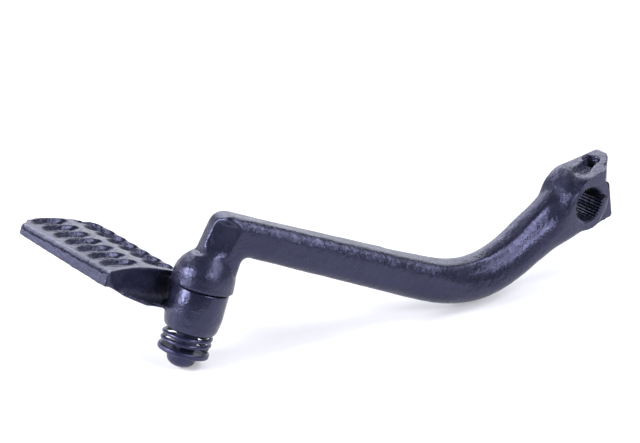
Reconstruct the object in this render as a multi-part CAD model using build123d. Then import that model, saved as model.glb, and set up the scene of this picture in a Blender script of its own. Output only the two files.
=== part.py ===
from build123d import *
import math
import os

# Kick start lever: a forged, cranked arm with a serrated split clamp boss at one end
# and a folding foot pedal on a fixed pin at the other. Millimetres and degrees.
# Y is the axis of the spline bore, +Y points away from the engine, Z is up as it lies.

# Spline bore and clamp boss
TOOTH_COUNT = 36
TIP_R = 7.25
TOOTH_DEPTH = 0.8
TIP_SHARE = 0.46
BOSS_R = 12.0
BOSS_FRONT = -10.5
BOSS_BACK = 8.5
SLOT_W = 1.8
SLOT_TURN = 10.0
SLOT_OVERRUN = 3.0

# Clamp ears: the upper one rises gently to its end, the lower one is square to the slot
CREST_R = 12.4
EAR_SLOPE = 4.4
EAR_END = 22.6
EAR_CORNER = 3.0
EAR_BACK = 1.5
EAR_NOSE_BACK = 21.2
UPPER_EAR_FRONT = [
    (-5.0, -10.1), (1.0, -10.1), (9.2, -8.2), (14.4, -5.4), (19.0, -1.4),
    (EAR_END - 1.2, 1.8), (EAR_END, 4.8), (EAR_END - 0.3, 7.2),
]
LOWER_EAR_DEPTH = 14.2
LOWER_EAR_END = 19.4
LOWER_EAR_FRONT = [(2.0, -7.0), (15.2, -7.0), (19.4, -2.6)]

# Clamp bolt and the milled relief beside it
BOLT_D = 6.0
BOLT_TAP_D = 5.0
BOLT_CLEARANCE = 0.4
BOLT_U = 13.9
BOLT_V = 2.9
RELIEF_W = 5.4
RELIEF_FLOOR = 11.3
RELIEF_START = (-0.4, -3.6)
RELIEF_END = (12.2, 0.8)

# Arm: the crank carries the pin outwards and the bend drops below the boss
PIN_REACH = 180.8
PIN_OUT = 29.0
PIN_DROP = 29.4
PIN_LEAN = 21.1
ELBOW_BACK = 5.2
ELBOW_TOP_BACK = 2.3
ELBOW_INNER = 12.0
ELBOW_REACH = 20.0
ELBOW_OUTER_R = 6.4
ELBOW_INNER_R = 2.6
STRAIGHT_END = (-86.0, 7.2, -12.0)
BEND_LEAD = 12.0
BEND = [
    (-74.0, 3.2, -16.8),
    (-63.0, 0.8, -19.6),
    (-51.0, 0.0, -20.3),
    (-39.0, 0.0, -18.3),
    (-26.0, 0.0, -13.0),
    (-14.5, -0.8, -7.6),
]
ARM_ROOT = (-5.0, -0.8, -3.0)
ARM_TALL_ELBOW = 14.8
ARM_WIDE_ELBOW = 15.2
ARM_TALL_BEND = 17.0
ARM_WIDE_BEND = 16.8
ARM_TALL_ROOT = 22.4
ARM_WIDE_ROOT = 19.2
FLARE_REACH = 32.0
ARM_CORNER = 4.6
ARM_CORNER_GROWTH = 1.2

# Hinge stack along the pin, measured upwards from the pin's peened foot
SEAM_W = 31.7
SEAM_GAP = 0.3
KNUCKLE_R = 12.4
KNUCKLE_TOP_W = 42.5
ELBOW_RISE = 12.2
NECK_R = 7.5
NECK_SINK = 3.0
PIN_R = 4.4
PIN_FIT = 0.05
PIN_DEPTH = 4.5
PEEN_R = 5.8
PEEN_W = -0.8
WASHER_R = 10.2
WASHER_T = 2.1
WASHER_W = 4.8
WASHER_EDGE = 0.5
WIRE_D = 1.8
WIRE_SIDES = 6
COIL_R = 9.1
COIL_TURNS = 2.0
COIL_START = -30.0
PEDAL_KNUCKLE_R = 11.4
PEDAL_FOOT_W = 13.6

# Pad of the foot pedal, across (u), outwards (v) and up (w) from the pin
PAD_LEFT = -38.0
PAD_RIGHT = 3.0
PAD_NEAR = 9.0
PAD_FAR = 72.5
PAD_FLARE = 3.6
PAD_CORNER = 6.5
PAD_FAR_R = 4.5
PAD_EDGE = 0.7
CREST_U = -15.5
CREST_W = SEAM_W + 1.6
CROWN_R = 130.0
PAD_DROP = 6.6
PAD_TAPER = 0.028
ROW_COUNT = 7
ROW_PITCH = 8.0
ROW_FIRST = 19.5
ROW_STAGGER = 1.0
POCKET_DEPTH = 1.3
POCKET_HALF = 3.3
POCKET_SIDES = 10
POCKET_SWING = 6.0
SPINE_W = 4.2
LEFT_MARGIN = 4.2
RIGHT_MARGIN = 2.2

# Web between the pedal's knuckle and its pad, with the scooped wall below the pad's lip
WEB_INSET = 0.6
WEB_LOW_W = 20.0
WEB_TIP_W = 26.0
WEB_BELLY = [(-18.5, 20.2), (-28.5, 22.6)]
WEB_LEFT_V = 15.0
WEB_RIGHT_V = 24.0
SCOOP_R = 8.2
SCOOP_FROM = (-41.0, 3.4, 32.4)
SCOOP_TO = (4.0, 6.6, 28.0)

PIN_FOOT = (-PIN_REACH, PIN_OUT, -PIN_DROP)
ELBOW_W = KNUCKLE_TOP_W + ELBOW_RISE
PIN_TOP_W = KNUCKLE_TOP_W + PIN_DEPTH
lean = math.radians(PIN_LEAN)
UP = Vector(math.sin(lean), 0, math.cos(lean))
ACROSS = Vector(math.cos(lean), 0, -math.sin(lean))
PIN = Plane(origin=PIN_FOOT, x_dir=ACROSS, z_dir=UP)
TURN = Rot(0, -SLOT_TURN, 0)
BOSS_LONG = BOSS_BACK - BOSS_FRONT
slope = math.radians(EAR_SLOPE)
EAR_TOP = CREST_R / math.cos(slope) + EAR_END * math.tan(slope)


def ring_profile(points):
    """A solid of revolution about local Z from (radius, height) points."""
    outline = Polyline(*[(r, 0, w) for r, w in points], close=True)
    return revolve(make_face(outline), axis=Axis.Z)


def column(radius, low, high):
    """A plain round column on local Z."""
    return Pos(0, 0, low) * Cylinder(radius, high - low, align=(Align.CENTER, Align.CENTER, Align.MIN))


def rod(start, end, radius):
    """A round rod between two points."""
    along = Vector(*end) - Vector(*start)
    plane = Plane(origin=start, z_dir=along)
    return plane * Cylinder(radius, along.length, align=(Align.CENTER, Align.CENTER, Align.MIN))


def arm_section(centre, along, across, tall, wide, corner):
    """A rounded rectangle square to the arm's run."""
    plane = Plane(origin=centre, x_dir=across, z_dir=along)
    return plane * RectangleRounded(wide, tall, corner)


def make_elbow(elbow, run, side):
    """The crank's corner, drawn in the plane of the pin and the straight run, then thickened."""
    half = ARM_TALL_ELBOW / 2
    foot = -ELBOW_RISE - NECK_SINK
    profile = make_face(Polyline(
        (-ELBOW_TOP_BACK, half),
        (ELBOW_REACH, half),
        (ELBOW_REACH, -half),
        (ELBOW_INNER, -half),
        (ELBOW_INNER, foot),
        (-ELBOW_BACK, foot),
        close=True,
    ))
    outer = profile.vertices().sort_by_distance((-ELBOW_TOP_BACK, half, 0))[0]
    profile = fillet(outer, ELBOW_OUTER_R)
    inner = profile.vertices().sort_by_distance((ELBOW_INNER, -half, 0))[0]
    profile = fillet(inner, ELBOW_INNER_R)
    block = extrude(profile, ARM_WIDE_ELBOW / 2, both=True)
    rounded = []
    for edge in block.edges():
        middle = edge.center()
        on_side = abs(middle.Z) > ARM_WIDE_ELBOW / 2 - 0.01
        at_end = abs(middle.X - ELBOW_REACH) < 0.01 or abs(middle.Y - foot) < 0.01
        if on_side and not at_end:
            rounded.append(edge)
    block = fillet(rounded, ARM_CORNER)
    return Plane(origin=elbow, x_dir=run, z_dir=-side) * block


def make_run(elbow, run, side):
    """The tapering straight run, the bend below the boss and the flared rise to the boss."""
    start = elbow + run * ELBOW_REACH
    straight_end = Vector(*STRAIGHT_END)
    bend_start = straight_end - run * BEND_LEAD
    full = (Vector(*BEND[1]) - start).length

    def station(point, along):
        share = min(1.0, (point - start).length / full)
        flare = max(0.0, 1 - point.length / FLARE_REACH)
        tall = ARM_TALL_ELBOW + (ARM_TALL_BEND - ARM_TALL_ELBOW) * share
        tall = tall + (ARM_TALL_ROOT - ARM_TALL_BEND) * flare
        wide = ARM_WIDE_ELBOW + (ARM_WIDE_BEND - ARM_WIDE_ELBOW) * share
        wide = wide + (ARM_WIDE_ROOT - ARM_WIDE_BEND) * flare
        level = Vector(0, 0, 1).cross(along).normalized()
        across = (side * (1 - share) + level * share).normalized()
        across = (across - along * across.dot(along)).normalized()
        return arm_section(point, along, across, tall, wide, ARM_CORNER + ARM_CORNER_GROWTH * share)

    straight = loft([station(start, run), station(bend_start, run)], ruled=True)
    points = [bend_start, straight_end] + [Vector(*p) for p in BEND] + [Vector(*ARM_ROOT)]
    turns = [run, run]
    for before, after in zip(points[1:-2], points[3:]):
        turns.append((after - before).normalized())
    turns.append((points[-1] - points[-2]).normalized())
    bend = loft([station(point, along) for point, along in zip(points, turns)])
    return straight + bend


def make_knuckle():
    """The arm's knuckle on the pin, with its sloping shoulder."""
    return PIN * ring_profile([
        (0, SEAM_W),
        (KNUCKLE_R - 0.5, SEAM_W),
        (KNUCKLE_R, SEAM_W + 0.5),
        (KNUCKLE_R - 0.2, KNUCKLE_TOP_W - 5.4),
        (KNUCKLE_R - 0.9, KNUCKLE_TOP_W - 3.0),
        (KNUCKLE_R - 2.2, KNUCKLE_TOP_W - 0.9),
        (NECK_R + 1.2, KNUCKLE_TOP_W + 0.9),
        (NECK_R, KNUCKLE_TOP_W + 2.2),
        (0, KNUCKLE_TOP_W + 2.2),
    ])


def make_boss():
    """The clamp boss along Y with its two ears."""
    plane = Plane(origin=(0, BOSS_BACK, 0), x_dir=(1, 0, 0), z_dir=(0, -1, 0))
    barrel = extrude(plane * Circle(BOSS_R), BOSS_LONG)

    tangent = (-CREST_R * math.sin(slope), CREST_R * math.cos(slope))
    side = make_face(Polyline((0, 0), tangent, (EAR_END, EAR_TOP), (EAR_END, 0), close=True))
    corner = side.vertices().sort_by_distance((EAR_END, EAR_TOP, 0))[0]
    side = fillet(corner, EAR_CORNER)
    half_round = Circle(CREST_R) & Pos(0, CREST_R) * Rectangle(2 * CREST_R, 2 * CREST_R)
    upper = extrude(plane * (side + half_round), BOSS_LONG)
    back_edges = upper.faces().sort_by(Axis.Y)[-1].edges()
    upper = chamfer([e for e in back_edges if e.center().Z > 0.01], EAR_BACK)
    front = make_face(Polyline(
        (-2 * BOSS_R, BOSS_BACK), (-2 * BOSS_R, UPPER_EAR_FRONT[0][1]), *UPPER_EAR_FRONT,
        (EAR_NOSE_BACK, BOSS_BACK), close=True))
    upper = upper & extrude(front, EAR_TOP + 1)

    low_plan = make_face(Polyline(
        (LOWER_EAR_FRONT[0][0], BOSS_BACK), *LOWER_EAR_FRONT, (LOWER_EAR_END, BOSS_BACK), close=True))
    lower = extrude(Pos(0, 0, -LOWER_EAR_DEPTH) * low_plan, LOWER_EAR_DEPTH)
    return barrel + upper + TURN * lower


def rim_point(radius, angle):
    """A point at an angle in degrees on a circle round the origin."""
    turn = math.radians(angle)
    return (radius * math.cos(turn), radius * math.sin(turn))


def cut_bore(arm):
    """The serrated bore, the clamp slot, the bolt hole and the milled relief."""
    root_r = TIP_R + TOOTH_DEPTH
    pitch = 360.0 / TOOTH_COUNT
    edges = []
    for i in range(TOOTH_COUNT):
        tip = (i + 0.5) * pitch - SLOT_TURN
        half_tip = TIP_SHARE / 2 * pitch
        start = rim_point(TIP_R, tip - half_tip)
        middle = rim_point(TIP_R, tip)
        end = rim_point(TIP_R, tip + half_tip)
        root = rim_point(root_r, tip + pitch / 2)
        edges.append(ThreePointArc(start, middle, end))
        edges.append(Line(end, root))
        edges.append(Line(root, rim_point(TIP_R, tip + pitch - half_tip)))
    serration = make_face(edges)
    plane = Plane(origin=(0, BOSS_FRONT - 1, 0), x_dir=(1, 0, 0), z_dir=(0, 1, 0))
    bore = extrude(plane * serration, BOSS_LONG + 2)

    slot = Pos(0, BOSS_FRONT - 1, 0) * Box(
        LOWER_EAR_END + SLOT_OVERRUN, BOSS_LONG + 2, SLOT_W, align=(Align.MIN, Align.MIN, Align.CENTER))
    tapped = column(BOLT_TAP_D / 2, 0, EAR_TOP + 4)
    clear = column((BOLT_D + BOLT_CLEARANCE) / 2, -LOWER_EAR_DEPTH - 2, 0)
    bolt = Pos(BOLT_U, BOLT_V, 0) * (tapped + clear)

    relief_line = Line(RELIEF_START, RELIEF_END)
    relief = SlotCenterToCenter(relief_line.length, RELIEF_W)
    angle = math.degrees(math.atan2(RELIEF_END[1] - RELIEF_START[1], RELIEF_END[0] - RELIEF_START[0]))
    middle = relief_line @ 0.5
    relief = extrude(Pos(middle.X, middle.Y, RELIEF_FLOOR) * Rot(0, 0, angle) * relief, EAR_TOP)
    return arm - bore - TURN * slot - TURN * bolt - relief


def make_lever_arm():
    elbow = PIN.from_local_coords(Vector(0, 0, ELBOW_W))
    run = (Vector(*STRAIGHT_END) - elbow).normalized()
    side = UP.cross(run).normalized()
    arm = make_elbow(elbow, run, side) + make_run(elbow, run, side) + make_knuckle() + make_boss()
    arm = cut_bore(arm)
    return arm - PIN * column(PIN_R, SEAM_W - 1, PIN_TOP_W)


def make_pivot_pin():
    """The pin, pressed into the arm and peened over below the washer."""
    return PIN * ring_profile([
        (0, PEEN_W),
        (3.2, PEEN_W + 0.2),
        (4.9, PEEN_W + 1.2),
        (PEEN_R, PEEN_W + 3.0),
        (PEEN_R, WASHER_W),
        (PIN_R, WASHER_W),
        (PIN_R, PIN_TOP_W - 0.6),
        (PIN_R - 0.6, PIN_TOP_W),
        (0, PIN_TOP_W),
    ])


def make_washer():
    top = WASHER_W + WASHER_T
    bore = PIN_R + PIN_FIT
    return PIN * ring_profile([
        (bore, WASHER_W),
        (WASHER_R - WASHER_EDGE, WASHER_W),
        (WASHER_R, WASHER_W + WASHER_EDGE),
        (WASHER_R, top - WASHER_EDGE),
        (WASHER_R - WASHER_EDGE, top),
        (bore, top),
    ])


def make_spring():
    """The pressed-up spring between the washer and the pedal's knuckle."""
    low = WASHER_W + WASHER_T + WIRE_D / 2
    high = PEDAL_FOOT_W - WIRE_D / 2
    path = Pos(0, 0, low) * Helix(pitch=(high - low) / COIL_TURNS, height=high - low, radius=COIL_R)
    plane = Plane(origin=path @ 0, z_dir=path % 0)
    coil = sweep(plane * RegularPolygon(WIRE_D / 2, WIRE_SIDES), path=path)
    return PIN * Rot(0, 0, COIL_START) * coil


def crown(lowered):
    """The long round body whose top is the pad's crown, lowered by the given depth."""
    axis_w = CREST_W - CROWN_R
    return rod((CREST_U, -PAD_FAR, axis_w), (CREST_U, 2 * PAD_FAR, axis_w), CROWN_R - lowered)


def pocket(tip_u, end_u, v, swing):
    """One oval tread pocket between the spine and the pad's edge."""
    half_long = abs(end_u - tip_u) / 2
    turns = [2 * math.pi * (i + 0.5) / POCKET_SIDES for i in range(POCKET_SIDES)]
    points = [(half_long * math.cos(t), POCKET_HALF * math.sin(t)) for t in turns]
    oval = make_face(Polyline(*points, close=True))
    return extrude(Pos((tip_u + end_u) / 2, v, CREST_W - 8) * Rot(0, 0, swing) * oval, 12)


def make_pad():
    """The crowned pad with its staggered tread pockets; the underside thins outwards."""
    face = make_face(Polyline(
        (PAD_LEFT, PAD_NEAR),
        (PAD_LEFT - PAD_FLARE, PAD_FAR - PAD_CORNER),
        (PAD_LEFT + 6, PAD_FAR - 1),
        (PAD_RIGHT, PAD_FAR),
        (PAD_RIGHT, PAD_NEAR + 9.5),
        close=True,
    ))
    face = fillet(face.vertices().sort_by(Axis.Y)[-3:], PAD_FAR_R)
    blank = extrude(Pos(0, 0, CREST_W - 14) * face, 20)
    under = Plane(origin=(0, PAD_NEAR, SEAM_W - PAD_DROP), x_dir=(1, 0, 0), z_dir=(0, -PAD_TAPER, 1))
    below = under * Box(3 * PAD_FAR, 3 * PAD_FAR, CREST_W, align=(Align.CENTER, Align.CENTER, Align.MAX))
    pad = (blank & crown(0)) - below
    top = pad.faces().filter_by(GeomType.CYLINDER).sort_by(SortBy.AREA)[-1]
    pad = chamfer(top.edges(), PAD_EDGE)
    tools = []
    for i in range(ROW_COUNT):
        v = ROW_FIRST + i * ROW_PITCH
        tools.append(pocket(CREST_U - SPINE_W / 2, PAD_LEFT + LEFT_MARGIN, v - ROW_STAGGER, POCKET_SWING))
        tools.append(pocket(CREST_U + SPINE_W / 2, PAD_RIGHT - RIGHT_MARGIN, v + ROW_STAGGER, -POCKET_SWING))
    for tool in tools:
        pad = pad - (tool - crown(POCKET_DEPTH))
    return pad


def make_web():
    """The web from knuckle to pad; its near wall is scooped out below the pad's lip."""
    left = PAD_LEFT + WEB_INSET
    right = PAD_RIGHT - WEB_INSET
    bend_u = 2.3 - PEDAL_KNUCKLE_R
    side = make_face(Polyline(
        (left, WEB_TIP_W), (left, CREST_W + 3), (right, CREST_W + 3), (right, WEB_LOW_W), (bend_u, WEB_LOW_W),
        *WEB_BELLY, close=True))
    web = extrude(Plane(origin=(0, 0, 0), x_dir=(1, 0, 0), z_dir=(0, -1, 0)) * side, -WEB_RIGHT_V - 2)
    plan = make_face(Polyline(
        (left, PAD_NEAR + 0.4), (left, WEB_LEFT_V), (right, WEB_RIGHT_V), (right, 2), (bend_u, 3.5), close=True))
    web = web & extrude(plan, CREST_W + 7)
    web = web & crown(0.4)
    return web - rod(SCOOP_FROM, SCOOP_TO, SCOOP_R)


def make_foot_pedal():
    knuckle = ring_profile([
        (0, PEDAL_FOOT_W),
        (8.6, PEDAL_FOOT_W),
        (9.6, PEDAL_FOOT_W + 0.4),
        (10.3, PEDAL_FOOT_W + 1.1),
        (10.9, PEDAL_FOOT_W + 2.7),
        (PEDAL_KNUCKLE_R, PEDAL_FOOT_W + 7),
        (PEDAL_KNUCKLE_R, SEAM_W - SEAM_GAP - 0.5),
        (PEDAL_KNUCKLE_R - 0.5, SEAM_W - SEAM_GAP),
        (0, SEAM_W - SEAM_GAP),
    ])
    pedal = knuckle + make_web() + make_pad()
    pedal = pedal - column(PIN_R + PIN_FIT, 0, ELBOW_W)
    return PIN * pedal


os.makedirs("parts", exist_ok=True)
for name, shape in (
    ("lever_arm", make_lever_arm()),
    ("pivot_pin", make_pivot_pin()),
    ("foot_pedal", make_foot_pedal()),
    ("pedal_spring", make_spring()),
    ("retaining_washer", make_washer()),
):
    export_step(shape, f"parts/{name}.step")
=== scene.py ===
import bpy
import bmesh
import math
import numpy as np
from mathutils import Matrix, Vector, noise


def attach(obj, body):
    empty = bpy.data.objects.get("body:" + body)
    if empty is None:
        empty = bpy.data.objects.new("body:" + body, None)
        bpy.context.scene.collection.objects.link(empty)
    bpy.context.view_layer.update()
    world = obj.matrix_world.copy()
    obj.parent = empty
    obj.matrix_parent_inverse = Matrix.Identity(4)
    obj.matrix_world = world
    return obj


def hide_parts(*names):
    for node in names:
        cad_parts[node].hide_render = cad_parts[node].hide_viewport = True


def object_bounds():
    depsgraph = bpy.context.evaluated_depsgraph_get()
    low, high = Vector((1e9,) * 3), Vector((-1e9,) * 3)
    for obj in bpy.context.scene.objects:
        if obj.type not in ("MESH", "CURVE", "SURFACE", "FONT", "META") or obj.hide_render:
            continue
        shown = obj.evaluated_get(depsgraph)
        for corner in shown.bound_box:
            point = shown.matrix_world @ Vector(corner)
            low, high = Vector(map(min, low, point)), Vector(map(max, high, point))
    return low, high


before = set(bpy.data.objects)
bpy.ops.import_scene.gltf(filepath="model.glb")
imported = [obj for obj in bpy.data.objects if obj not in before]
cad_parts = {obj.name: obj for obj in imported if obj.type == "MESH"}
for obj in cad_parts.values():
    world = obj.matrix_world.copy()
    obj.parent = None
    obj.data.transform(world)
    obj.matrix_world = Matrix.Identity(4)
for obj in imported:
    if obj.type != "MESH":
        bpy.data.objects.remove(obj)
cad_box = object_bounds()

# All sizes below are in millimetres in the part's frame and are turned into metres by MM.
MM = 0.001

# Hinge pin: foot, lean and the axes of its own frame (u across, v out along Y, w up).
PIN_FOOT = Vector((-180.8, 29.0, -29.4))
PIN_LEAN = math.radians(21.1)
UP = Vector((math.sin(PIN_LEAN), 0, math.cos(PIN_LEAN)))
ACROSS = Vector((math.cos(PIN_LEAN), 0, -math.sin(PIN_LEAN)))
PIN = Matrix.Translation(PIN_FOOT) @ Matrix((ACROSS, (0, 1, 0), UP)).transposed().to_4x4()
SEAM_W = 31.7
PIN_R = 4.4
PIN_BORE_R = 4.45
PIN_TOP_W = 47.0
WASHER_W = 4.8
WASHER_TOP_W = 6.9
WASHER_R = 10.2
WASHER_SIDES = 128
WIRE_R = 0.9
COIL_R = 9.1
COIL_LOW = 7.8
COIL_HIGH = 12.7
COIL_TURNS = 2.0
COIL_START = math.radians(-30.0)

# Clamp boss: serrations, slot and bolt hole, as machined in the painted forging.
TOOTH_COUNT = 36
TIP_R = 7.25
ROOT_R = 8.05
TIP_SHARE = 0.46
BORE_MOUTH = 0.6
BOSS_FRONT = -10.5
BOSS_BACK = 8.5
SLOT_W = 2.1
SLOT_REACH = 28.0
SLOT_TURN = math.radians(10.0)
BOLT_U = 13.9
BOLT_V = 2.9
THREAD_MINOR_R = 2.5
THREAD_MAJOR_R = 3.0
THREAD_PITCH = 1.0
CLEAR_R = 3.2
CUT_PAST = 1
SLOT_FRAME = Matrix.Rotation(-SLOT_TURN, 4, "Y")
# Local Z along +Y and local X along X, so heights are Y values.
BORE_FRAME = Matrix(((1, 0, 0, 0), (0, 0, 1, 0), (0, -1, 0, 0), (0, 0, 0, 1)))

# The rise from the bend to the boss: heights of its top along X.
RISE_X = (-86, -74, -63, -51, -39, -26, -14.5, -8, 0, 10)
RISE_TOP = (-3.6, -8.2, -11.1, -11.8, -9.2, -3.5, 3.1, 9.5, 12.4, 13.1)

# The straight run's rolled upper front edge.
RUN_ROLL_R = 9.0

# Tread pad in the pin's frame.
PAD_LEFT = -38.0
PAD_RIGHT = 3.0
PAD_NEAR = 9.0
PAD_FAR = 72.5
PAD_FLARE = 3.6
PAD_CORNER = 6.5
CREST_U = -15.5
CREST_W = SEAM_W + 1.6
CROWN_R = 130.0
ROW_COUNT = 7
ROW_PITCH = 8.0
ROW_FIRST = 19.5
ROW_STAGGER = 1.0
POCKET_DEPTH = 1.9
POCKET_POWER = 2.6
POCKET_WALL = 0.42

# Skins: size of the remeshed cells, and depth of the forged lumps.
ARM_VOXEL = 0.5
PEDAL_VOXEL = 0.38
ARM_LUMPS = 0.12
PEDAL_LUMPS = 0.10

# Paint: strength of its gloss in the open, and inside the sawn slot, where taking the gloss off paints
# shade into the recess.
GLOSS = 0.70
SLOT_SHADE_GLOSS = 0.03


# Mesh helpers.

def link(obj):
    bpy.context.collection.objects.link(obj)
    return obj


def object_from(name, verts, faces, smooth=True):
    """An object from points in millimetres."""
    mesh = bpy.data.meshes.new(name)
    mesh.from_pydata([tuple(Vector(v) * MM) for v in verts], [], faces)
    mesh.validate()
    for poly in mesh.polygons:
        poly.use_smooth = smooth
    return link(bpy.data.objects.new(name, mesh))


def fix_normals(obj):
    bm = bmesh.new()
    bm.from_mesh(obj.data)
    bmesh.ops.recalc_face_normals(bm, faces=bm.faces)
    bm.to_mesh(obj.data)
    bm.free()


def ring_quads(rows, n, closed=False):
    """Quads between neighbouring rings of n points; closed also joins the last ring to the first."""
    faces = []
    for k in range(rows if closed else rows - 1):
        after = (k + 1) % rows * n
        for i in range(n):
            j = (i + 1) % n
            faces.append((k * n + i, k * n + j, after + j, after + i))
    return faces


def solid_from(name, rings, smooth=False):
    """A solid through rings of equal length, with a fan cap at each end."""
    verts = [v for ring in rings for v in ring]
    n = len(rings[0])
    faces = ring_quads(len(rings), n)
    for ring, base, flip in ((rings[0], 0, True), (rings[-1], (len(rings) - 1) * n, False)):
        centre = sum((Vector(v) for v in ring), Vector()) / n
        verts.append(centre)
        for i in range(n):
            a, b = base + i, base + (i + 1) % n
            faces.append((b, a, len(verts) - 1) if flip else (a, b, len(verts) - 1))
    obj = object_from(name, verts, faces, smooth=smooth)
    fix_normals(obj)
    return obj


def prism(name, outline, matrix, low, high):
    """A solid from a closed outline in local XY between two local heights."""
    return solid_from(name, [[matrix @ Vector((x, y, h)) for x, y in outline] for h in (low, high)])


def circle(radius, count):
    turns = [2 * math.pi * i / count for i in range(count)]
    return [(radius * math.cos(t), radius * math.sin(t)) for t in turns]


def apply_modifiers(obj):
    deps = bpy.context.evaluated_depsgraph_get()
    deps.update()
    mesh = bpy.data.meshes.new_from_object(obj.evaluated_get(deps))
    obj.modifiers.clear()
    old = obj.data
    obj.data = mesh
    bpy.data.meshes.remove(old)


def node_skin(node, name, plugs, voxel):
    """A remeshed copy of a CAD node, with some of its hollows plugged for a later clean cut."""
    bm = bmesh.new()
    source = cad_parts[node]
    bm.from_mesh(source.data)
    bm.transform(source.matrix_world)
    for plug in plugs:
        bm.from_mesh(plug.data)
    mesh = bpy.data.meshes.new(name)
    bm.to_mesh(mesh)
    bm.free()
    for plug in plugs:
        bpy.data.objects.remove(plug)
    obj = link(bpy.data.objects.new(name, mesh))
    remesh = obj.modifiers.new("skin", "REMESH")
    remesh.mode = "VOXEL"
    remesh.voxel_size = voxel * MM
    apply_modifiers(obj)
    return obj


def cut(obj, cutters):
    for cutter in cutters:
        mod = obj.modifiers.new("cut", "BOOLEAN")
        mod.operation = "DIFFERENCE"
        mod.solver = "EXACT"
        mod.object = cutter
        apply_modifiers(obj)
        bpy.data.objects.remove(cutter)


def shade_smooth(obj, angle):
    """Smooth shading, with edges sharper than the angle in degrees kept."""
    for poly in obj.data.polygons:
        poly.use_smooth = True
    obj.data.set_sharp_from_angle(angle=math.radians(angle))


# Helpers for the points of a skin, in millimetres.

def get_points(obj):
    co = np.empty(len(obj.data.vertices) * 3)
    obj.data.vertices.foreach_get("co", co)
    return co.reshape(-1, 3) / MM


def get_normals(obj):
    normals = np.empty(len(obj.data.vertices) * 3)
    obj.data.vertices.foreach_get("normal", normals)
    return normals.reshape(-1, 3)


def set_points(obj, co):
    obj.data.vertices.foreach_set("co", (co * MM).ravel())
    obj.data.update()


def pin_coords(co):
    """Points as across, out and up from the pin's foot."""
    axes = np.array([ACROSS, (0, 1, 0), UP])
    return (co - np.array(PIN_FOOT)) @ axes.T


def smooth(obj, rounds, weight=None, keep_size=True):
    """Laplace smoothing of the skin; with keep_size each step is followed by a step back."""
    edges = np.empty(len(obj.data.edges) * 2, int)
    obj.data.edges.foreach_get("vertices", edges)
    a, b = edges.reshape(-1, 2).T
    count = len(obj.data.vertices)
    ends = np.concatenate((a, b))
    others = np.concatenate((b, a))
    degree = np.maximum(np.bincount(ends, minlength=count), 1)[:, None]
    co = get_points(obj)
    mask = np.ones(count) if weight is None else weight
    steps = (0.5, -0.52) if keep_size else (0.5,)
    for _ in range(rounds):
        for step in steps:
            mean = np.stack([np.bincount(ends, co[others, k], count) for k in range(3)], 1) / degree
            co = co + (step * mask)[:, None] * (mean - co)
    set_points(obj, co)


def near(co, centre, radius):
    """1 inside a ball, fading to 0 at one and a half times its radius."""
    d = np.linalg.norm(co - np.array(centre), axis=1)
    return np.clip((1.5 * radius - d) / (0.5 * radius), 0, 1)


def ramp(values, low, high):
    """0 up to low, 1 from high on."""
    return np.clip((values - low) / (high - low), 0, 1)


def lumps(co, offset, scales):
    """A sum of smooth noises at the given scales in millimetres."""
    total = np.zeros(len(co))
    for scale, share in scales:
        total += share * np.array([noise.noise(Vector(p) / scale + offset) for p in co])
    return total


def forge_texture(obj, depth, offset):
    """Lumps of the forged and painted surface, moved along the normals and slightly inwards."""
    co = get_points(obj)
    lift = lumps(co, offset, ((9.0, 0.9), (3.2, 0.45), (1.6, 0.30)))
    set_points(obj, co + get_normals(obj) * (depth * (lift - 0.8))[:, None])


# Cutters for the clamp boss.

def serration_outline(flare):
    """The serrated bore's outline; flare 1 opens it into the chamfered mouth."""
    points = []
    pitch = 2 * math.pi / TOOTH_COUNT
    half_tip = TIP_SHARE / 2
    tooth = ((-half_tip, TIP_R), (0.0, TIP_R), (half_tip, TIP_R), (0.5, ROOT_R))
    for i in range(TOOTH_COUNT):
        tip = (i + 0.5) * pitch + SLOT_TURN
        for share, radius in tooth:
            angle = tip + share * pitch
            r = radius + flare * (ROOT_R + 0.25 - radius)
            points.append((r * math.cos(angle), r * math.sin(angle)))
    return points


def bore_cutter():
    stations = (
        (BOSS_FRONT - CUT_PAST, 1.0), (BOSS_FRONT + 0.05, 1.0), (BOSS_FRONT + BORE_MOUTH, 0.0),
        (BOSS_BACK - BORE_MOUTH, 0.0), (BOSS_BACK - 0.05, 1.0), (BOSS_BACK + CUT_PAST, 1.0),
    )
    rings = []
    for height, flare in stations:
        rings.append([BORE_FRAME @ Vector((x, y, height)) for x, y in serration_outline(flare)])
    return solid_from("bore_cutter", rings)


def slot_cutter():
    half = SLOT_W / 2
    outline = [(0.0, -half), (SLOT_REACH, -half), (SLOT_REACH, half), (0.0, half)]
    low, high = BOSS_FRONT - CUT_PAST, BOSS_BACK + CUT_PAST
    return prism("slot_cutter", outline, SLOT_FRAME @ BORE_FRAME, low, high)


def thread_cutter():
    """A tapped hole's inside: its radius runs from minor to major along a helix."""
    rows_per_turn = 8
    sides = 48
    low, high = 0.2, 17.0
    rows = int((high - low) / THREAD_PITCH * rows_per_turn)
    rings = []
    for k in range(rows + 1):
        h = low + (high - low) * k / rows
        ring = []
        for i in range(sides):
            turn = i / sides
            phase = (h / THREAD_PITCH - turn) % 1.0
            crest = max(0.0, min(1.0, 1.35 - 3.2 * abs(phase - 0.5)))
            r = THREAD_MINOR_R + (THREAD_MAJOR_R - THREAD_MINOR_R) * crest
            a = turn * 2 * math.pi
            ring.append(SLOT_FRAME @ Vector((BOLT_U + r * math.cos(a), BOLT_V + r * math.sin(a), h)))
        rings.append(ring)
    return solid_from("thread_cutter", rings)


def bolt_column(radius, low, high, name):
    """A round column on the clamp bolt's axis."""
    matrix = SLOT_FRAME @ Matrix.Translation((BOLT_U, BOLT_V, 0))
    return prism(name, circle(radius, 48), matrix, low, high)


# Freeform shaping of the arm's skin.

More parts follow.
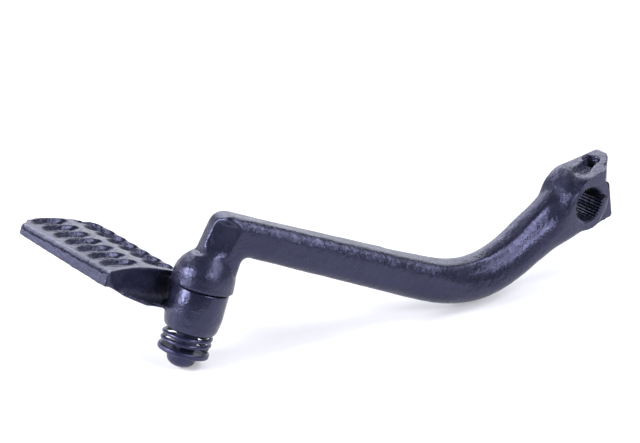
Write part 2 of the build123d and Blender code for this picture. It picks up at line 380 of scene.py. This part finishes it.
def round_run(obj):
    """Rolls the upper front edge of the straight run to a large radius."""
    co = get_points(obj)
    x, y, z = co.T
    spots = np.arange(-160.0, -56.0, 2.0)
    slices = [np.abs(x - s) < 1.5 for s in spots]
    top = np.interp(x, spots, [z[k].max() for k in slices])
    front = np.interp(x, spots, [y[k].min() for k in slices])
    # Offsets from the roll's axis towards the front and the top, as shares of its radius.
    to_front = np.clip((RUN_ROLL_R - (y - front)) / RUN_ROLL_R, 0, None)
    to_top = np.clip((RUN_ROLL_R - (top - z)) / RUN_ROLL_R, 0, None)
    share = 1 - 1 / np.maximum(np.hypot(to_front, to_top), 1)
    share = share * ramp(x, -156.0, -144.0) * ramp(-x, 62.0, 82.0)
    co[:, 1] += RUN_ROLL_R * to_front * share
    co[:, 2] -= RUN_ROLL_R * to_top * share
    set_points(obj, co)


def reshape_rise(obj):
    """Lets the rise's top fall away towards the front and rolls its upper front edge back, as forged."""
    co = get_points(obj)
    x, y, z = co.T
    below = np.interp(x, RISE_X, RISE_TOP) - z
    near_top = np.clip(1 - below / 7.0, 0, 1)
    start = ramp(x, -80.0, -60.0)
    drop = 0.018 * np.clip(3.0 - y, 0, 14) ** 2 * near_top * start * ramp(-x, -1.0, 6.0)
    roll = 0.30 * np.clip(11.0 - below, 0, 11) * np.clip((-2.0 - y) / 5.0, 0, 1)
    roll = roll * start * ramp(-x, 11.0, 17.0)
    co[:, 1] += roll
    co[:, 2] -= drop
    set_points(obj, co)
    smooth(obj, 30, np.clip(roll + drop, 0, 1), keep_size=False)


def flatten_neck(obj):
    """Turns the crank's left corner towards the front, with a crease at the narrow left face."""
    co = get_points(obj)
    u, v, w = pin_coords(co).T
    # Slopes of the new face, which looks left and to the front.
    face_u, face_v = -0.776, -0.631
    left = -4.6 + (w - 50.0) / 6.0
    beyond = face_u * (u - left) + face_v * v
    taken = np.clip(beyond, 0, None) * ramp(w, 45.5, 49.0) * ramp(-w, -61.0, -58.0) * (u < 6)
    facing = face_u * np.array(ACROSS) + np.array((0, face_v, 0))
    set_points(obj, co - np.outer(taken, facing))


def widen_face(obj):
    """Brings the upper ear's front edge forward to the boss's face, beside the ring."""
    co = get_points(obj)
    x, y, z = co.T
    window = ramp(x, -7.0, -1.0) * ramp(-x, -12.0, -8.0) * ramp(z, 5.0, 8.5)
    forward = 3.4 * np.clip((-4.6 - y) / 2.2, 0, 1) * window
    co[:, 1] = np.maximum(y - forward, np.minimum(y, BOSS_FRONT + 0.1))
    set_points(obj, co)
    smooth(obj, 6, np.clip(forward, 0, 1), keep_size=False)


def tilt_relief(obj):
    """Tilts the floor of the relief beside the bolt hole down towards the front."""
    co = get_points(obj)
    along = np.array((0.944, 0.330))
    across = np.array((0.330, -0.944))
    flat = co[:, :2] - np.array((-0.4, -3.6))
    s, t = flat @ along, flat @ across
    inside = np.clip((2.7 - np.abs(t)) / 0.7, 0, 1) * ramp(s, 0.5, 4.5) * ramp(-s, -14.5, -12.5)
    co[:, 2] -= 0.32 * np.clip(t + 2.6, 0, 5.2) * inside * (co[:, 2] > 9.5)
    set_points(obj, co)


# Lever arm: a soft forged skin with the machining cut into it.
arm_plugs = [
    prism("bore_plug", circle(8.6, 72), BORE_FRAME, BOSS_FRONT, BOSS_BACK),
    bolt_column(3.6, -12.0, 8.6, "bolt_plug"),
]
arm = node_skin("lever_arm", "lever_arm_forging", arm_plugs, ARM_VOXEL)
co = get_points(arm)
hinge = pin_coords(co)
# Places to soften: where the arm flares into the boss, the crank's neck, and the ring's right edge.
junction = np.maximum.reduce([
    near(co, (-13, -1, 5), 12),
    near(co, (-11, -8, 2), 8),
    near(co, (-12, -6, -10), 8),
    near(co, (-2, -8, 11), 5),
])
neck = near(hinge, (2, 0, 43.5), 11) * ramp(hinge[:, 2], 36.0, 40.0)
rim = np.maximum(near(co, (9.5, -10.5, -6.5), 3), near(co, (11.5, -10.5, -1.5), 3))
smooth(arm, 60, junction, keep_size=False)
round_run(arm)
reshape_rise(arm)
flatten_neck(arm)
widen_face(arm)
tilt_relief(arm)
smooth(arm, 5)
smooth(arm, 8, 0.8 * neck * ramp(-hinge[:, 2], -49.0, -46.0), keep_size=False)
smooth(arm, 26, rim, keep_size=False)
smooth(arm, 3, ramp(hinge[:, 2], 33.5, 35.0), keep_size=False)
forge_texture(arm, ARM_LUMPS, Vector((3.1, 7.7, 1.3)))
cut(arm, [
    bore_cutter(),
    slot_cutter(),
    thread_cutter(),
    bolt_column(CLEAR_R, -18.0, 0.0, "clear_cutter"),
])
shade_smooth(arm, 32)
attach(arm, "arm")
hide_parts("lever_arm")


# Shaping of the pedal's skin.

def crown_w(u):
    """Height of the pad's crowned top."""
    return CREST_W - CROWN_R + np.sqrt(CROWN_R ** 2 - (u - CREST_U) ** 2)


def tread_plug():
    """A slab just under the crown that fills the flat pockets, so that scooped ones can be sunk."""
    us = np.linspace(PAD_LEFT + 2.0, PAD_RIGHT - 1.0, 24)
    rings = []
    for v in np.linspace(13.5, 70.0, 12):
        top = [(u, v, crown_w(u)) for u in us]
        low = [(u, v, crown_w(u) - 2.4) for u in us[::-1]]
        rings.append([PIN @ Vector(p) for p in top + low])
    return solid_from("tread_plug", rings)


def pad_edge(v):
    """The left edge of the pad, which flares outwards to the far end."""
    return PAD_LEFT - PAD_FLARE * (v - PAD_NEAR) / (PAD_FAR - PAD_CORNER - PAD_NEAR)


def pockets():
    """Centre, half length, half width and swing of each tread pocket."""
    rows = []
    left_tip, left_end = CREST_U - 1.4, PAD_LEFT + 1.4
    right_tip, right_end = CREST_U + 1.4, PAD_RIGHT + 0.4
    left_u, left_half = (left_tip + left_end) / 2, (left_tip - left_end) / 2
    right_u, right_half = (right_tip + right_end) / 2, (right_end - right_tip) / 2
    for i in range(ROW_COUNT):
        v = ROW_FIRST + i * ROW_PITCH
        rows.append((left_u, v - ROW_STAGGER, left_half, 3.85, 6.0))
        rows.append((right_u, v + ROW_STAGGER, right_half, 3.75, -6.0))
    return rows


def sink_pockets(obj, depth):
    """Scoops the tread pockets into the crowned top and bevels the top's left edge."""
    co = get_points(obj)
    local = pin_coords(co)
    on_top = (local[:, 2] > crown_w(local[:, 0]) - 1.1) & (local[:, 1] > 10)
    drop = np.zeros(len(co))
    for u, v, half_u, half_v, swing in pockets():
        turn = math.radians(swing)
        du, dv = local[:, 0] - u, local[:, 1] - v
        x = (du * math.cos(turn) + dv * math.sin(turn)) / half_u
        y = (dv * math.cos(turn) - du * math.sin(turn)) / half_v
        edge = (np.abs(x) ** POCKET_POWER + np.abs(y) ** POCKET_POWER) ** (1 / POCKET_POWER)
        wall = np.clip((1 - edge) / POCKET_WALL, 0, 1)
        drop = np.maximum(drop, depth * wall * (1.5 - 0.5 * wall))
    drop *= ramp(PAD_FAR - 1.4 - local[:, 1], 0.0, 1.6)
    drop *= np.clip(0.3 + ramp(PAD_RIGHT - 0.8 - local[:, 0], 0.0, 2.0), 0, 1)
    bevel = 0.5 * np.clip(2.0 - (local[:, 0] - pad_edge(local[:, 1])), 0, 2.0)
    drop = (drop + bevel) * on_top
    set_points(obj, co - np.outer(drop, np.array(UP)))


def taper_knuckle(obj):
    """Draws the pedal's knuckle in below the seam on its left side, where the forging tapers."""
    co = get_points(obj)
    local = pin_coords(co)
    r = np.maximum(np.hypot(local[:, 0], local[:, 1]), 0.001)
    left = np.clip((-local[:, 0] / r + 0.25) / 0.9, 0, 1)
    here = (r > 9.0) & (local[:, 1] < 8) & (local[:, 2] < SEAM_W)
    pull = 0.2 * np.clip(local[:, 2] - 26.0, 0, 6) * left * here
    outward = local[:, :1] * np.array(ACROSS) + local[:, 1:2] * np.array((0, 1, 0))
    set_points(obj, co - outward / r[:, None] * pull[:, None])


# Foot pedal: the same kind of skin, with scooped tread pockets and a clean pin bore.
pedal_plugs = [prism("pin_plug", circle(5.2, 64), PIN, 14.2, 31.0), tread_plug()]
pedal = node_skin("foot_pedal", "foot_pedal_forging", pedal_plugs, PEDAL_VOXEL)
sink_pockets(pedal, POCKET_DEPTH)
taper_knuckle(pedal)
local = pin_coords(get_points(pedal))
root = np.maximum.reduce([
    near(local, (-10, 4, 21), 6),
    near(local, (-9, 5, 28), 5),
    near(local, (-33, 11, 27), 4),
])
off_seam = ramp(np.abs(local[:, 2] - 31.2) + 2 * (local[:, 1] > 8), 0.8, 2.0)
smooth(pedal, 40, root * ramp(31.4 - local[:, 2], 0.6, 2.4), keep_size=False)
smooth(pedal, 4)
smooth(pedal, 3, off_seam, keep_size=False)
forge_texture(pedal, PEDAL_LUMPS, Vector((11.0, 2.0, 5.0)))
cut(pedal, [prism("pin_cutter", circle(PIN_BORE_R, 96), PIN, 5.0, 40.0)])
shade_smooth(pedal, 40)
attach(pedal, "pedal")
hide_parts("foot_pedal")


# Turned pieces and the spring.

def lathe(profile, segments, wobble):
    """Rings of a turned piece on the pin's axis from (radius, height) points, slightly uneven."""
    rings = []
    for r, w in profile:
        ring = []
        for i in range(segments):
            a = 2 * math.pi * i / segments
            spot = Vector((math.cos(a) * 1.5, math.sin(a) * 1.5, w * 0.4))
            uneven = r * (1 - wobble * (0.5 + 0.5 * noise.noise(spot)))
            ring.append(PIN @ Vector((uneven * math.cos(a), uneven * math.sin(a), w)))
        rings.append(ring)
    return rings


def arc(centre_r, centre_w, radius, start, end, steps):
    turns = [math.radians(start + (end - start) * i / steps) for i in range(steps + 1)]
    return [(centre_r + radius * math.cos(t), centre_w + radius * math.sin(t)) for t in turns]


# Pivot pin: a low, peened and slightly uneven head below, a plain shank above.
pin_head = [
    (0.5, -0.74), (1.8, -0.68), (3.0, -0.52), (3.7, -0.22), (4.4, 0.22), (4.95, 0.72), (5.35, 1.4),
    (5.62, 2.2), (5.74, 3.0), (5.78, 3.8), (5.74, 4.4), (5.5, 4.72), (5.1, WASHER_W),
]
pin_shank = [
    (PIN_R, WASHER_W), (PIN_R, 15.0), (PIN_R, 30.0), (PIN_R, PIN_TOP_W - 0.6),
    (PIN_R - 0.6, PIN_TOP_W), (0.5, PIN_TOP_W),
]
pin = solid_from("pivot_pin_turned", lathe(pin_head + pin_shank, 96, 0.012), smooth=True)
shade_smooth(pin, 38)
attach(pin, "arm")
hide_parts("pivot_pin")

# Retaining washer: a stamped ring with a rolled upper edge and a tighter lower one.
washer_profile = [(PIN_BORE_R, WASHER_W)] + arc(WASHER_R - 0.45, WASHER_W + 0.45, 0.45, -90, 0, 5)
washer_profile += arc(WASHER_R - 0.7, WASHER_TOP_W - 0.7, 0.7, 0, 90, 7)
washer_profile += [(PIN_BORE_R + 0.3, WASHER_TOP_W), (PIN_BORE_R, WASHER_TOP_W - 0.3)]
washer_rings = lathe(washer_profile, WASHER_SIDES, 0.004)
washer_faces = ring_quads(len(washer_rings), WASHER_SIDES, closed=True)
washer = object_from("retaining_washer_stamped", [v for ring in washer_rings for v in ring], washer_faces)
fix_normals(washer)
shade_smooth(washer, 38)
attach(washer, "arm")
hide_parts("retaining_washer")


def spring_rings():
    """Round wire on the solid's helix, with rounded cut ends."""
    steps = 190
    sides = 18
    rise = COIL_HIGH - COIL_LOW
    climb = rise / (2 * math.pi * COIL_TURNS * COIL_R)
    rings = []
    for k in range(steps + 1):
        t = k / steps
        a = COIL_START + 2 * math.pi * COIL_TURNS * t
        centre = Vector((COIL_R * math.cos(a), COIL_R * math.sin(a), COIL_LOW + rise * t))
        along = Vector((-math.sin(a), math.cos(a), climb)).normalized()
        out = Vector((math.cos(a), math.sin(a), 0))
        side = along.cross(out)
        from_end = min(t, 1 - t) * steps
        r = WIRE_R * min(1.0, 0.62 + 0.19 * from_end) * 0.98
        ring = []
        for i in range(sides):
            b = 2 * math.pi * i / sides
            ring.append(PIN @ (centre + out * (r * math.cos(b)) + side * (r * math.sin(b))))
        rings.append(ring)
    return rings


# Pedal spring: two open coils of round wire.
spring = solid_from("pedal_spring_wire", spring_rings(), smooth=True)
shade_smooth(spring, 50)
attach(spring, "arm")
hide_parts("pedal_spring")


# Materials.

def paint(name, dark, light, rough, peel, grain, fine):
    """Semi-gloss black paint over a forging: colour drift, patchy gloss, orange peel and fine grain."""
    mat = bpy.data.materials.new(name)
    mat.use_nodes = True
    nodes, links = mat.node_tree.nodes, mat.node_tree.links
    shader = nodes["Principled BSDF"]
    shader.inputs["Specular Tint"].default_value = (0.60, 0.61, 1.0, 1.0)
    shader.inputs["Specular IOR Level"].default_value = GLOSS
    coord = nodes.new("ShaderNodeTexCoord")

    def tex(scale, detail, roughness):
        node = nodes.new("ShaderNodeTexNoise")
        node.inputs["Scale"].default_value = scale
        node.inputs["Detail"].default_value = detail
        node.inputs["Roughness"].default_value = roughness
        links.new(coord.outputs["Object"], node.inputs["Vector"])
        return node.outputs["Fac"]

    shades = nodes.new("ShaderNodeValToRGB")
    shades.color_ramp.elements[0].position = 0.32
    shades.color_ramp.elements[0].color = (*dark, 1)
    shades.color_ramp.elements[1].position = 0.72
    shades.color_ramp.elements[1].color = (*light, 1)
    links.new(tex(38.0, 4.0, 0.55), shades.inputs["Fac"])
    links.new(shades.outputs["Color"], shader.inputs["Base Color"])

    patches = nodes.new("ShaderNodeMapRange")
    patches.inputs["From Min"].default_value = 0.3
    patches.inputs["From Max"].default_value = 0.7
    patches.inputs["To Min"].default_value = rough[0]
    patches.inputs["To Max"].default_value = rough[1]
    links.new(tex(140.0, 5.0, 0.6), patches.inputs["Value"])
    links.new(patches.outputs["Result"], shader.inputs["Roughness"])

    # Bump layers: noise scale, detail, strength and depth in metres.
    normal = None
    layers = ((420.0, 3.0, peel, 0.0005), (1100.0, 3.0, grain, 0.0002), (3200.0, 2.0, fine, 0.00006))
    for scale, detail, strength, depth in layers:
        bump = nodes.new("ShaderNodeBump")
        bump.inputs["Strength"].default_value = strength
        bump.inputs["Distance"].default_value = depth
        links.new(tex(scale, detail, 0.55), bump.inputs["Height"])
        if normal is not None:
            links.new(normal, bump.inputs["Normal"])
        normal = bump.outputs["Normal"]
    links.new(normal, shader.inputs["Normal"])
    return mat


def paint_slot_shade(mat):
    """Takes the gloss off the paint inside the sawn slot: painted shade that makes the recess read dark.
    """
    nodes, links = mat.node_tree.nodes, mat.node_tree.links
    coord = nodes.new("ShaderNodeTexCoord")
    along = (math.cos(SLOT_TURN), 0.0, math.sin(SLOT_TURN))
    across = (-math.sin(SLOT_TURN), 0.0, math.cos(SLOT_TURN))
    half = SLOT_W / 2 + 0.05

    def gloss_beyond(direction, start, end):
        """The paint's gloss, from the slot's painted-shade level at start to full at end, by distance
        along a direction.
        """
        dot = nodes.new("ShaderNodeVectorMath")
        dot.operation = "DOT_PRODUCT"
        links.new(coord.outputs["Object"], dot.inputs[0])
        dot.inputs[1].default_value = direction
        fade = nodes.new("ShaderNodeMapRange")
        fade.inputs["From Min"].default_value = start * MM
        fade.inputs["From Max"].default_value = end * MM
        fade.inputs["To Min"].default_value = SLOT_SHADE_GLOSS
        fade.inputs["To Max"].default_value = GLOSS
        links.new(dot.outputs["Value"], fade.inputs["Value"])
        return fade.outputs["Result"]

    gloss = gloss_beyond(along, 6.8, 6.4)
    for side in (1, -1):
        most = nodes.new("ShaderNodeMath")
        most.operation = "MAXIMUM"
        links.new(gloss, most.inputs[0])
        links.new(gloss_beyond(across, side * half, side * (half + 0.04)), most.inputs[1])
        gloss = most.outputs[0]
    links.new(gloss, nodes["Principled BSDF"].inputs["Specular IOR Level"])
    return mat


def dress(obj, mat):
    obj.data.materials.clear()
    obj.data.materials.append(mat)


# Darkest and lightest shade of the paint on the forgings, the pin and washer, and the wire.
FORGING = ((0.006, 0.006, 0.014), (0.013, 0.013, 0.027))
TURNED = ((0.006, 0.006, 0.018), (0.014, 0.014, 0.036))
WIRE = ((0.008, 0.008, 0.022), (0.018, 0.018, 0.044))
# The arm's paint carries painted shade in its sawn slot, where its gloss is taken off.
dress(arm, paint_slot_shade(paint("arm_paint", *FORGING, (0.20, 0.36), 0.45, 0.80, 0.4)))
dress(pedal, paint("pedal_paint", *FORGING, (0.16, 0.32), 0.45, 0.60, 0.3))
dress(pin, paint("pin_metal", *TURNED, (0.26, 0.42), 0.35, 0.40, 0.2))
dress(washer, paint("washer_metal", *TURNED, (0.24, 0.40), 0.30, 0.40, 0.2))
dress(spring, paint("spring_wire", *WIRE, (0.22, 0.36), 0.12, 0.30, 0.2))


def seen_directly(nodes, links):
    """1 for what the camera, reflections and transmissions see."""
    path = nodes.new("ShaderNodeLightPath")
    last = path.outputs["Is Camera Ray"]
    for ray in ("Is Glossy Ray", "Is Transmission Ray"):
        either = nodes.new("ShaderNodeMath")
        either.operation = "MAXIMUM"
        links.new(last, either.inputs[0])
        links.new(path.outputs[ray], either.inputs[1])
        last = either.outputs[0]
    return last


def paper(name, colour, glow_colour, glow_share):
    """Pale paper that is seen as nearly white, with the shadows on it kept."""
    mat = bpy.data.materials.new(name)
    mat.use_nodes = True
    nodes, links = mat.node_tree.nodes, mat.node_tree.links
    nodes.clear()
    out = nodes.new("ShaderNodeOutputMaterial")
    matte = nodes.new("ShaderNodeBsdfDiffuse")
    matte.inputs["Color"].default_value = (*colour, 1)
    glow = nodes.new("ShaderNodeEmission")
    glow.inputs["Color"].default_value = (*glow_colour, 1)
    share = nodes.new("ShaderNodeMath")
    share.operation = "MULTIPLY"
    share.inputs[1].default_value = glow_share
    links.new(seen_directly(nodes, links), share.inputs[0])
    mix = nodes.new("ShaderNodeMixShader")
    links.new(share.outputs[0], mix.inputs["Fac"])
    links.new(matte.outputs[0], mix.inputs[1])
    links.new(glow.outputs[0], mix.inputs[2])
    links.new(mix.outputs[0], out.inputs["Surface"])
    return mat


# Floor: a plain sheet of pale paper just under the part.
MIDDLE = Vector((-90, 20, -10))
FLOOR_HALF = 4000
FLOOR_Z = cad_box[0].z / MM - 0.02
corners = [(x * FLOOR_HALF, y * FLOOR_HALF, FLOOR_Z) for x, y in ((-1, -1), (1, -1), (1, 1), (-1, 1))]
floor = object_from("floor", corners, [(0, 1, 2, 3)], smooth=False)
floor.data.materials.append(paper("floor_paper", (0.88, 0.88, 0.90), (1.0, 1.0, 1.0), 0.25))

# Backdrop: a low band of paper round the back, out of the camera's view.
BACKDROP_R = 2000
BACKDROP_HIGH = 700
BACKDROP_STEPS = 48
turns = [math.radians(70 + 220 * i / BACKDROP_STEPS) for i in range(BACKDROP_STEPS + 1)]
bow = [(MIDDLE.x + BACKDROP_R * math.sin(t), MIDDLE.y - BACKDROP_R * math.cos(t)) for t in turns]
band = [(x, y, h) for h in (FLOOR_Z, BACKDROP_HIGH) for x, y in bow]
panels = [(i, i + 1, i + len(bow) + 1, i + len(bow)) for i in range(BACKDROP_STEPS)]
backdrop = object_from("backdrop", band, panels)
backdrop.data.materials.append(paper("backdrop_paper", (0.86, 0.87, 0.90), (0.86, 0.88, 1.0), 0.95))

# World: a dim, even room, so that the lamps and the pale floor draw the shapes.
world = bpy.data.worlds.new("studio")
bpy.context.scene.world = world
world.use_nodes = True
room = world.node_tree.nodes["Background"]
room.inputs["Color"].default_value = (0.95, 0.96, 1.0, 1)
room.inputs["Strength"].default_value = 0.2


def softbox(name, azimuth, elevation, distance, width, height, power):
    """A soft rectangular lamp aimed at the object, by compass from the front and height angle."""
    az, el = math.radians(azimuth), math.radians(elevation)
    aim = MIDDLE * MM
    direction = Vector((math.sin(az) * math.cos(el), -math.cos(az) * math.cos(el), math.sin(el)))
    place = aim + distance * direction
    lamp = bpy.data.lights.new(name, "AREA")
    lamp.shape = "RECTANGLE"
    lamp.size = width
    lamp.size_y = height
    lamp.energy = power
    lamp.color = (0.92, 0.93, 1.0)
    obj = link(bpy.data.objects.new(name, lamp))
    obj.location = place
    obj.rotation_euler = (aim - place).to_track_quat("-Z", "Y").to_euler()


# Lamps: azimuth and elevation in degrees, distance, width and height in metres, power in watts.
softbox("left_box", -108, 28, 0.9, 0.40, 0.36, 11.5)
softbox("front_box", 4, 34, 0.9, 0.38, 0.28, 5.4)
softbox("right_box", 56, 51, 0.9, 0.55, 0.30, 4.8)
softbox("rim_box", 135, 6, 1.3, 1.0, 0.2, 0.9)
softbox("back_box", 146, 27, 1.3, 1.2, 0.28, 5.5)
softbox("back_high_box", 175, 40, 1.0, 0.7, 0.22, 2.6)
softbox("low_box", -135, 8, 1.2, 0.8, 0.25, 2.0)

# Camera, fitted to the photograph: its place in millimetres and its axes.
CAMERA_AT = Vector((-620.5, -602.1, 387.0))
CAMERA_RIGHT = Vector((0.77820, -0.62802, 0.0))
CAMERA_UP = Vector((0.26444, 0.32768, 0.90702))
CAMERA_BACK = Vector((-0.56963, -0.70584, 0.42107))
camera = bpy.data.cameras.new("camera")
camera.sensor_fit = "HORIZONTAL"
camera.sensor_width = 36.0
camera.lens = 127.37
camera.clip_start = 0.05
camera.clip_end = 20.0
view = link(bpy.data.objects.new("camera", camera))
stand = Matrix((CAMERA_RIGHT, CAMERA_UP, CAMERA_BACK)).transposed().to_4x4()
stand.translation = CAMERA_AT * MM
view.matrix_world = stand
bpy.context.scene.camera = view
bpy.context.scene.view_settings.view_transform = "Standard"
